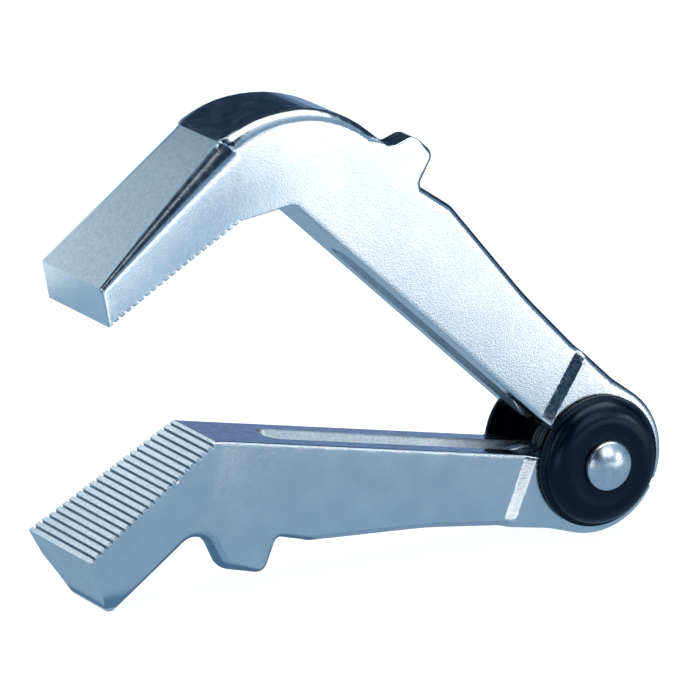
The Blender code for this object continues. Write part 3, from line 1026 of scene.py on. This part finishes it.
def make_world():
    """White to the camera; a blue dusk that brightens overhead round the object."""
    world = bpy.data.worlds.new("studio")
    bpy.context.scene.world = world
    world.use_nodes = True
    tree = world.node_tree
    tree.nodes.clear()
    out = tree.nodes.new("ShaderNodeOutputWorld")
    seen = tree.nodes.new("ShaderNodeBackground")
    seen.inputs["Color"].default_value = (1, 1, 1, 1)
    seen.inputs["Strength"].default_value = 1.05
    around = tree.nodes.new("ShaderNodeBackground")
    place = tree.nodes.new("ShaderNodeTexCoord")
    split = tree.nodes.new("ShaderNodeSeparateXYZ")
    tree.links.new(place.outputs["Generated"], split.inputs["Vector"])
    climb = tree.nodes.new("ShaderNodeValToRGB")
    tree.links.new(split.outputs["Z"], climb.inputs["Fac"])
    stops = climb.color_ramp.elements
    stops[0].position = 0.0
    stops[0].color = (0.12, 0.21, 0.36, 1)
    stops[1].position = 0.85
    stops[1].color = (0.95, 1.0, 1.0, 1)
    stops.new(0.5).color = (0.30, 0.46, 0.57, 1)
    stops.new(0.7).color = (0.46, 0.63, 0.76, 1)
    tree.links.new(climb.outputs["Color"], around.inputs["Color"])
    path = tree.nodes.new("ShaderNodeLightPath")
    mix = tree.nodes.new("ShaderNodeMixShader")
    tree.links.new(path.outputs["Is Camera Ray"], mix.inputs["Fac"])
    tree.links.new(around.outputs["Background"], mix.inputs[1])
    tree.links.new(seen.outputs["Background"], mix.inputs[2])
    tree.links.new(mix.outputs["Shader"], out.inputs["Surface"])
    bpy.context.scene.view_settings.view_transform = "Standard"


def make_floor():
    """A wide, plain white floor that throws a soft blue back at the steel."""
    material = bpy.data.materials.new("floor")
    material.use_nodes = True
    tree = material.node_tree
    tree.nodes.clear()
    out = tree.nodes.new("ShaderNodeOutputMaterial")
    white = tree.nodes.new("ShaderNodeBsdfDiffuse")
    white.inputs["Color"].default_value = (0.3, 0.3, 0.3, 1)
    glow = tree.nodes.new("ShaderNodeEmission")
    glow.inputs["Strength"].default_value = 0.93
    both = tree.nodes.new("ShaderNodeAddShader")
    tree.links.new(white.outputs["BSDF"], both.inputs[0])
    tree.links.new(glow.outputs["Emission"], both.inputs[1])
    bounce = tree.nodes.new("ShaderNodeEmission")
    bounce.inputs["Color"].default_value = (0.26, 0.40, 0.53, 1)
    path = tree.nodes.new("ShaderNodeLightPath")
    mix = tree.nodes.new("ShaderNodeMixShader")
    tree.links.new(path.outputs["Is Camera Ray"], mix.inputs["Fac"])
    tree.links.new(bounce.outputs["Emission"], mix.inputs[1])
    tree.links.new(both.outputs["Shader"], mix.inputs[2])
    tree.links.new(mix.outputs["Shader"], out.inputs["Surface"])
    verts = []
    faces = []
    steps = FLOOR_STEPS
    for radius in (0.4, 4.0):
        for i in range(steps):
            angle = 2 * math.pi * i / steps
            verts.append((radius * math.cos(angle), radius * math.sin(angle), FLOOR_LEVEL))
    faces.append(tuple(range(steps)))
    faces += [(i, (i + 1) % steps, steps + (i + 1) % steps, steps + i) for i in range(steps)]
    mesh = bpy.data.meshes.new("floor")
    mesh.from_pydata(verts, [], faces)
    mesh.materials.append(material)
    floor = bpy.data.objects.new("floor", mesh)
    bpy.context.scene.collection.objects.link(floor)


def make_lights():
    """Softboxes, and cards that the plating mirrors. Near the object a card is a patch of light or
    shade for one face; far away the dome's patches darken what the faces see behind the camera."""
    soft_light("overhead", (0.40, 0.2, 0.9), (0.40, 0.2, 0), (1.2, 1.0), 5.5)
    soft_light("right", (0.66, -0.6, 0.14), (0.05, 0, 0.02), (0.16, 0.16), 0.45)

    front = [(0.125, -0.07), (0.1, -0.085), (0.104, -0.12), (0.107, -0.2)]
    front += [(0.085, -0.3), (0.0, -0.9), (0.4, -0.9), (0.7, -0.3)]
    floor_card("front_card", front, BRIGHT)
    shade_places = [(-0.045, 0.05), (-0.008, 0.0825), (0.004, 0.078), (0.0, 0.06), (-0.03, 0.042)]
    wall_card("jaw_shade", -0.0495, shade_places, (0.36, 0.55, 0.73))
    hub_places = [(0.1, -0.118), (0.14, -0.118), (0.14, -0.08), (0.1, -0.085)]
    floor_card("hub_card", hub_places, (2.0, 2.0, 2.0), 2 * CARD_LEVEL)
    floor_card("left_card", [(-0.06, -0.14), (-0.06, -0.9), (-0.9, -0.9), (-0.9, -0.3)], (0.6, 0.74, 0.86))
    floor_card("tip_card", [(-0.09, 0.05), (-0.09, 0.35), (-0.35, 0.35), (-0.35, 0.05)], (0.3, 0.46, 0.6))
    lug_places = [(-0.063, -0.011), (-0.063, 0.05), (-0.01, 0.05), (-0.01, -0.011)]
    floor_card("lug_card", lug_places, (0.1, 0.2, 0.32))
    floor_card("right_card", [(0.07, -0.002), (0.07, 0.3), (0.6, 0.3), (0.6, -0.002)], NIGHT)

    jaw_places = [(-0.0639, 0.0598), (-0.0179, 0.0978), (-0.009, 0.087), (-0.055, 0.049)]
    wall_card("jaw_wall", -0.05, jaw_places, BRIGHT)
    slot_places = [(0.045, 0.06), (0.14, 0.06), (0.14, 0.14), (0.045, 0.14)]
    wall_card("slot_wall", -0.15, slot_places, (1.7, 1.7, 1.75))
    wall_card("left_wall", -0.1, [(-0.1, 0.002), (0.0, 0.002), (0.0, 0.04), (-0.1, 0.04)], (1.2, 1.25, 1.3))
    wall_card("ridge_wall", 0.06, [(-0.13, 0.04), (-0.02, 0.04), (-0.02, 0.095), (-0.13, 0.095)], PALE)
    wall_card("back_wall", 0.06, [(-0.045, 0.118), (0.06, 0.118), (0.06, 0.26), (-0.045, 0.26)], DARK)

    sky_card("camera_sky", (-100, 0), (10, 66), 1.2, DARK)
    sky_card("left_sky", (-152, -100), (40, 70), 1.2, DARK)
    sky_card("back_sky", (138, 168), (7.5, 46), 1.3, NIGHT)
    sky_card("right_sky", (84, 138), (0, 46), 1.3, NIGHT)
    sky_card("back_horizon", (138, 195), (0, 7.5), 1.3, DUSK)


# ---- the object ----


def make_object():
    """Builds every piece and says which body it rides on and which CAD node it replaces."""
    forged = plated_steel("forged_plating", (0.72, 0.77, 0.82), (0.80, 0.85, 0.89), 0.17, 0.36, 2800)
    ground = ground_steel("ground_plating", (0.55, 0.62, 0.70), (0.68, 0.74, 0.8), 0.17)
    milled = plated_steel("milled_plating", (0.70, 0.75, 0.79), (0.94, 0.97, 0.99), 0.38, 0.9, 1900, 1400)
    # a darker copy of the plating: painted shade in the serrations' grooves and in the upper arm's slot
    groove = plated_steel("groove_painted_shade", (0.34, 0.43, 0.50), (0.45, 0.55, 0.62), 0.5, 0.5, 1900)
    black = black_moulding("black_moulding")
    polished = polished_steel("polished_steel")
    # two copies of the wire: a near-black one for the coil and the sleeve, painted shade in the gap between
    # the arms, and a lit one for the legs
    wire = spring_steel("spring_steel", (0.04, 0.05, 0.065), (0.09, 0.11, 0.13))
    lit_wire = spring_steel("lit_spring_steel", (0.62, 0.66, 0.7), (0.8, 0.83, 0.86))
    finishes = [forged, ground, milled, groove]

    lower_place = (-1, LOWER_RISE, LOWER_FACE)
    upper_place = (1, LOWER_RISE + OPENING, UPPER_FACE)
    lower = make_arm("lower_arm_forging", lower_outline(), LOWER_SHAPE, *lower_place, finishes, milled)
    upper = make_arm("upper_arm_forging", upper_outline(), UPPER_SHAPE, *upper_place, finishes, groove)
    front = make_cap("front_cap_moulding", -1, black)
    rear = make_cap("rear_cap_moulding", 1, black)
    rivet = make_rivet(polished)
    spring = wire_along("torsion_spring_wire", eased(spring_path(), 3), [wire, lit_wire])

    for piece, body, node, slot in (
        (lower, "lower", "lower_arm", "plated_steel"),
        (upper, "upper", "upper_arm", "plated_steel"),
        (front, "lower", "front_cap", "black_cap"),
        (rear, "lower", "rear_cap", "black_cap"),
        (rivet, "lower", "pivot_rivet", "polished_rivet"),
    ):
        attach(piece, body)
        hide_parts(node)
    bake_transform(spring)
    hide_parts("torsion_spring")

    sleeve = frame["nodes"]["spacer_sleeve"]
    sleeve.data.materials.clear()
    sleeve.data.materials.append(wire)


make_camera()
make_world()
make_floor()
make_lights()
make_object()
